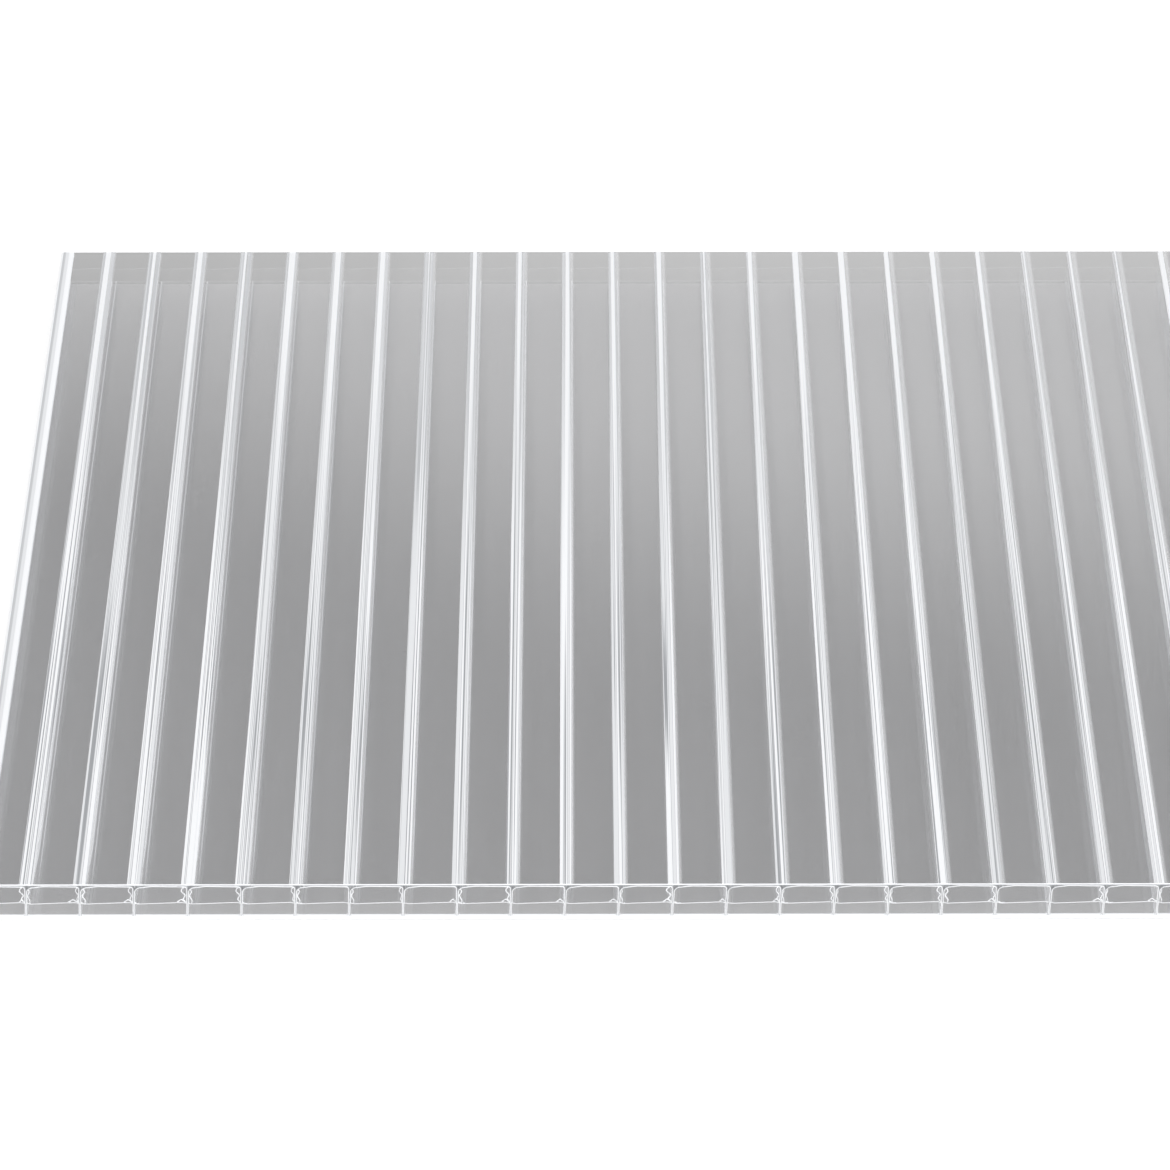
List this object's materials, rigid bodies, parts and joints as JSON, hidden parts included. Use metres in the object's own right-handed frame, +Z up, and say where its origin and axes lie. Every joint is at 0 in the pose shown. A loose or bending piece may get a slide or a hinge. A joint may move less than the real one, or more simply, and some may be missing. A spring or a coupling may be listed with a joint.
{
  "type": "multiwall polycarbonate sheet",
  "caption": "Clear hollow-section glazing sheet with an outer wall above and below, a thin middle wall and upright webs, cut square at both ends.",
  "frame": {"origin": "centre of the underside, the face that the sheet lies on", "axes": "+X across the ribs, +Y along the ribs and the chambers, +Z up through the thickness"},
  "size_m": [0.98, 0.5, 0.016],
  "materials": {
    "clear_polycarbonate": "gloss"
  },
  "bodies": {
    "root": {"multiwall_sheet": "clear_polycarbonate"}
  },
  "joints": []
}
